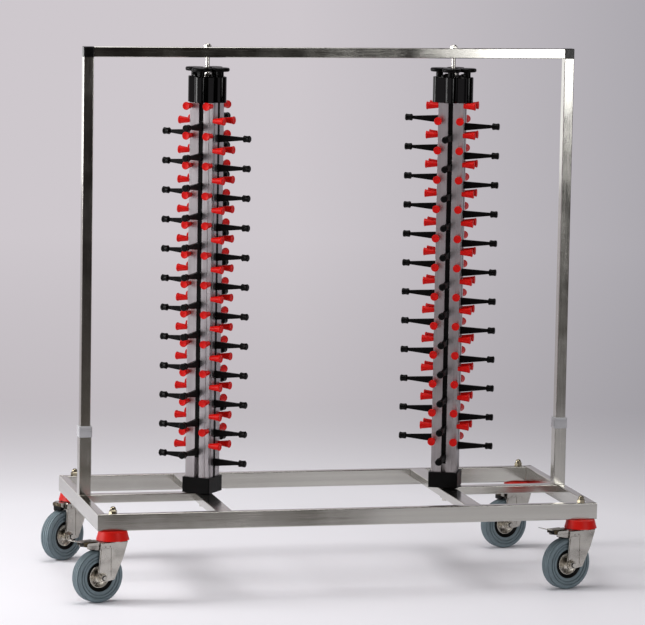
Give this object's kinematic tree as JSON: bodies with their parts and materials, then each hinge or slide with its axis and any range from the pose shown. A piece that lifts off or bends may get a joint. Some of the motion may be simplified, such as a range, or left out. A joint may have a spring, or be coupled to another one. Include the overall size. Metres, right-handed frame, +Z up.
{
  "type": "mobile plate rack",
  "caption": "Wheeled rack with turning columns of height-adjustable arms and pegs under a tubular arch, on a rectangular base frame with swivel casters.",
  "frame": {"origin": "on the floor, under the middle of the box round the rack as it stands", "axes": "+X to the right along the rack's length, -Y to its front, +Z up"},
  "size_m": [1.3076, 0.6401, 1.3038],
  "materials": {
    "stainless": "brushed stainless tube, grain along its length",
    "polished": "bright steel bolts, studs and dome nuts",
    "zinc": "plated pressed steel, slightly mottled",
    "aluminium": "satin anodised extrusion, streaked along its length",
    "black_gloss": "glossy black moulding",
    "black_matte": "matte black moulding",
    "red_plastic": "semi-gloss red moulding",
    "red_skirt": "satin red moulding",
    "white_plastic": "white moulding",
    "tyre": "blue-grey rubber, slightly dusty",
    "rim": "black rim",
    "hub": "plated steel discs"
  },
  "bodies": {
    "base": {"front_rail": "stainless", "rear_rail": "stainless", "left_end_rail": "stainless", "right_end_rail": "stainless", "cross_members": "stainless", "centre_stubs": "stainless", "post_sockets": "stainless", "post_collars": "white_plastic", "left_post": "stainless", "right_post": "stainless", "top_rail": "stainless", "corner_connectors": "black_matte", "caster_mounts": "polished", "caster_skirts": "red_skirt", "pivot_bolts": "polished", "pivot_studs": "polished"},
    "left_column": {"left_column_profile": "aluminium", "left_base_block": "black_matte", "left_head": "black_gloss", "left_pegs": "red_plastic"},
    "left_front_arms": {"left_front_arm_rail": "black_matte"},
    "left_front_lift": {"left_front_knob": "black_gloss"},
    "left_right_arms": {"left_right_arm_rail": "black_matte"},
    "left_right_lift": {"left_right_knob": "black_gloss"},
    "left_back_arms": {"left_back_arm_rail": "black_matte"},
    "left_back_lift": {"left_back_knob": "black_gloss"},
    "left_left_arms": {"left_left_arm_rail": "black_matte"},
    "left_left_lift": {"left_left_knob": "black_gloss"},
    "right_column": {"right_column_profile": "aluminium", "right_base_block": "black_matte", "right_head": "black_gloss", "right_pegs": "red_plastic"},
    "right_front_arms": {"right_front_arm_rail": "black_matte"},
    "right_front_lift": {"right_front_knob": "black_gloss"},
    "right_right_arms": {"right_right_arm_rail": "black_matte"},
    "right_right_lift": {"right_right_knob": "black_gloss"},
    "right_back_arms": {"right_back_arm_rail": "black_matte"},
    "right_back_lift": {"right_back_knob": "black_gloss"},
    "right_left_arms": {"right_left_arm_rail": "black_matte"},
    "right_left_lift": {"right_left_knob": "black_gloss"},
    "front_left_swivel": {"front_left_fork": "zinc"},
    "front_left_wheel": {"front_left_tyre": "tyre", "front_left_rim": "rim", "front_left_hub": "hub"},
    "front_left_pedal": {"front_left_brake_pedal": "zinc"},
    "front_right_swivel": {"front_right_fork": "zinc"},
    "front_right_wheel": {"front_right_tyre": "tyre", "front_right_rim": "rim", "front_right_hub": "hub"},
    "front_right_pedal": {"front_right_brake_pedal": "zinc"},
    "rear_left_swivel": {"rear_left_fork": "zinc"},
    "rear_left_wheel": {"rear_left_tyre": "tyre", "rear_left_rim": "rim", "rear_left_hub": "hub"},
    "rear_right_swivel": {"rear_right_fork": "zinc"},
    "rear_right_wheel": {"rear_right_tyre": "tyre", "rear_right_rim": "rim", "rear_right_hub": "hub"}
  },
  "joints": [
    {"name": "left_column_turn", "type": "hinge", "parent": "base", "child": "left_column", "pos_m": [-0.27024, 0.0056, 0.2098], "axis": [0, 0, 1], "continuous": true},
    {"name": "left_front_arms_slide", "type": "slide", "parent": "left_column", "child": "left_front_arms", "axis": [0, 0, 1], "range_m": [-0.003, 0.027]},
    {"name": "left_front_knob_turn", "type": "hinge", "parent": "left_column", "child": "left_front_lift", "pos_m": [-0.29093, -0.02138, 1.2258], "axis": [0, 0, 1], "range_deg": [-54.5, 486.5]},
    {"name": "left_right_arms_slide", "type": "slide", "parent": "left_column", "child": "left_right_arms", "axis": [0, 0, 1], "range_m": [-0.0115, 0.0185]},
    {"name": "left_right_knob_turn", "type": "hinge", "parent": "left_column", "child": "left_right_lift", "pos_m": [-0.24326, -0.0151, 1.2258], "axis": [0, 0, 1], "range_deg": [-207.5, 333.5]},
    {"name": "left_back_arms_slide", "type": "slide", "parent": "left_column", "child": "left_back_arms", "axis": [0, 0, 1], "range_m": [-0.021, 0.009]},
    {"name": "left_back_knob_turn", "type": "hinge", "parent": "left_column", "child": "left_back_lift", "pos_m": [-0.24954, 0.03257, 1.2258], "axis": [0, 0, 1], "range_deg": [-378.5, 162.5]},
    {"name": "left_left_arms_slide", "type": "slide", "parent": "left_column", "child": "left_left_arms", "axis": [0, 0, 1], "range_m": [-0.022, 0.008]},
    {"name": "left_left_knob_turn", "type": "hinge", "parent": "left_column", "child": "left_left_lift", "pos_m": [-0.29721, 0.02629, 1.2258], "axis": [0, 0, 1], "range_deg": [-396.5, 144.5]},
    {"name": "right_column_turn", "type": "hinge", "parent": "base", "child": "right_column", "pos_m": [0.34476, 0.0056, 0.2098], "axis": [0, 0, 1], "continuous": true},
    {"name": "right_front_arms_slide", "type": "slide", "parent": "right_column", "child": "right_front_arms", "axis": [0, 0, 1], "range_m": [-0.0115, 0.0185]},
    {"name": "right_front_knob_turn", "type": "hinge", "parent": "right_column", "child": "right_front_lift", "pos_m": [0.33121, -0.02558, 1.2258], "axis": [0, 0, 1], "range_deg": [-207.5, 333.5]},
    {"name": "right_right_arms_slide", "type": "slide", "parent": "right_column", "child": "right_right_arms", "axis": [0, 0, 1], "range_m": [-0.0035, 0.0265]},
    {"name": "right_right_knob_turn", "type": "hinge", "parent": "right_column", "child": "right_right_lift", "pos_m": [0.37594, -0.00796, 1.2258], "axis": [0, 0, 1], "range_deg": [-63.5, 477.5]},
    {"name": "right_back_arms_slide", "type": "slide", "parent": "right_column", "child": "right_back_arms", "axis": [0, 0, 1], "range_m": [-0.015, 0.015]},
    {"name": "right_back_knob_turn", "type": "hinge", "parent": "right_column", "child": "right_back_lift", "pos_m": [0.35832, 0.03678, 1.2258], "axis": [0, 0, 1], "range_deg": [-270.5, 270.5]},
    {"name": "right_left_arms_slide", "type": "slide", "parent": "right_column", "child": "right_left_arms", "axis": [0, 0, 1], "range_m": [-0.021, 0.009]},
    {"name": "right_left_knob_turn", "type": "hinge", "parent": "right_column", "child": "right_left_lift", "pos_m": [0.31359, 0.01915, 1.2258], "axis": [0, 0, 1], "range_deg": [-378.5, 162.5]},
    {"name": "front_left_swivel_turn", "type": "hinge", "parent": "base", "child": "front_left_swivel", "pos_m": [-0.53973, -0.2694, 0.142], "axis": [0, 0, 1], "continuous": true},
    {"name": "front_left_wheel_spin", "type": "hinge", "parent": "front_left_swivel", "child": "front_left_wheel", "pos_m": [-0.57814, -0.28376, 0.0625], "axis": [0.3502, -0.9367, 0], "continuous": true},
    {"name": "front_left_pedal_press", "type": "hinge", "parent": "front_left_swivel", "child": "front_left_pedal", "pos_m": [-0.57908, -0.28411, 0.134], "axis": [0.3502, -0.9367, 0], "range_deg": [0, 9]},
    {"name": "front_right_swivel_turn", "type": "hinge", "parent": "base", "child": "front_right_swivel", "pos_m": [0.61426, -0.2694, 0.142], "axis": [0, 0, 1], "continuous": true},
    {"name": "front_right_wheel_spin", "type": "hinge", "parent": "front_right_swivel", "child": "front_right_wheel", "pos_m": [0.57527, -0.28207, 0.0625], "axis": [0.309, -0.9511, 0], "continuous": true},
    {"name": "front_right_pedal_press", "type": "hinge", "parent": "front_right_swivel", "child": "front_right_pedal", "pos_m": [0.57432, -0.28238, 0.134], "axis": [0.309, -0.9511, 0], "range_deg": [0, 9]},
    {"name": "rear_left_swivel_turn", "type": "hinge", "parent": "base", "child": "rear_left_swivel", "pos_m": [-0.53973, 0.2806, 0.142], "axis": [0, 0, 1], "continuous": true},
    {"name": "rear_left_wheel_spin", "type": "hinge", "parent": "rear_left_swivel", "child": "rear_left_wheel", "pos_m": [-0.57352, 0.25737, 0.0625], "axis": [0.5664, -0.8241, 0], "continuous": true},
    {"name": "rear_right_swivel_turn", "type": "hinge", "parent": "base", "child": "rear_right_swivel", "pos_m": [0.61426, 0.2806, 0.142], "axis": [0, 0, 1], "continuous": true},
    {"name": "rear_right_wheel_spin", "type": "hinge", "parent": "rear_right_swivel", "child": "rear_right_wheel", "pos_m": [0.57506, 0.26861, 0.0625], "axis": [0.2924, -0.9563, 0], "continuous": true}
  ],
  "couplings": [
    {"joint": "left_front_knob_turn", "follows": "left_front_arms_slide", "rad_per_m": 314.16},
    {"joint": "left_right_knob_turn", "follows": "left_right_arms_slide", "rad_per_m": 314.16},
    {"joint": "left_back_knob_turn", "follows": "left_back_arms_slide", "rad_per_m": 314.16},
    {"joint": "left_left_knob_turn", "follows": "left_left_arms_slide", "rad_per_m": 314.16},
    {"joint": "right_front_knob_turn", "follows": "right_front_arms_slide", "rad_per_m": 314.16},
    {"joint": "right_right_knob_turn", "follows": "right_right_arms_slide", "rad_per_m": 314.16},
    {"joint": "right_back_knob_turn", "follows": "right_back_arms_slide", "rad_per_m": 314.16},
    {"joint": "right_left_knob_turn", "follows": "right_left_arms_slide", "rad_per_m": 314.16}
  ]
}
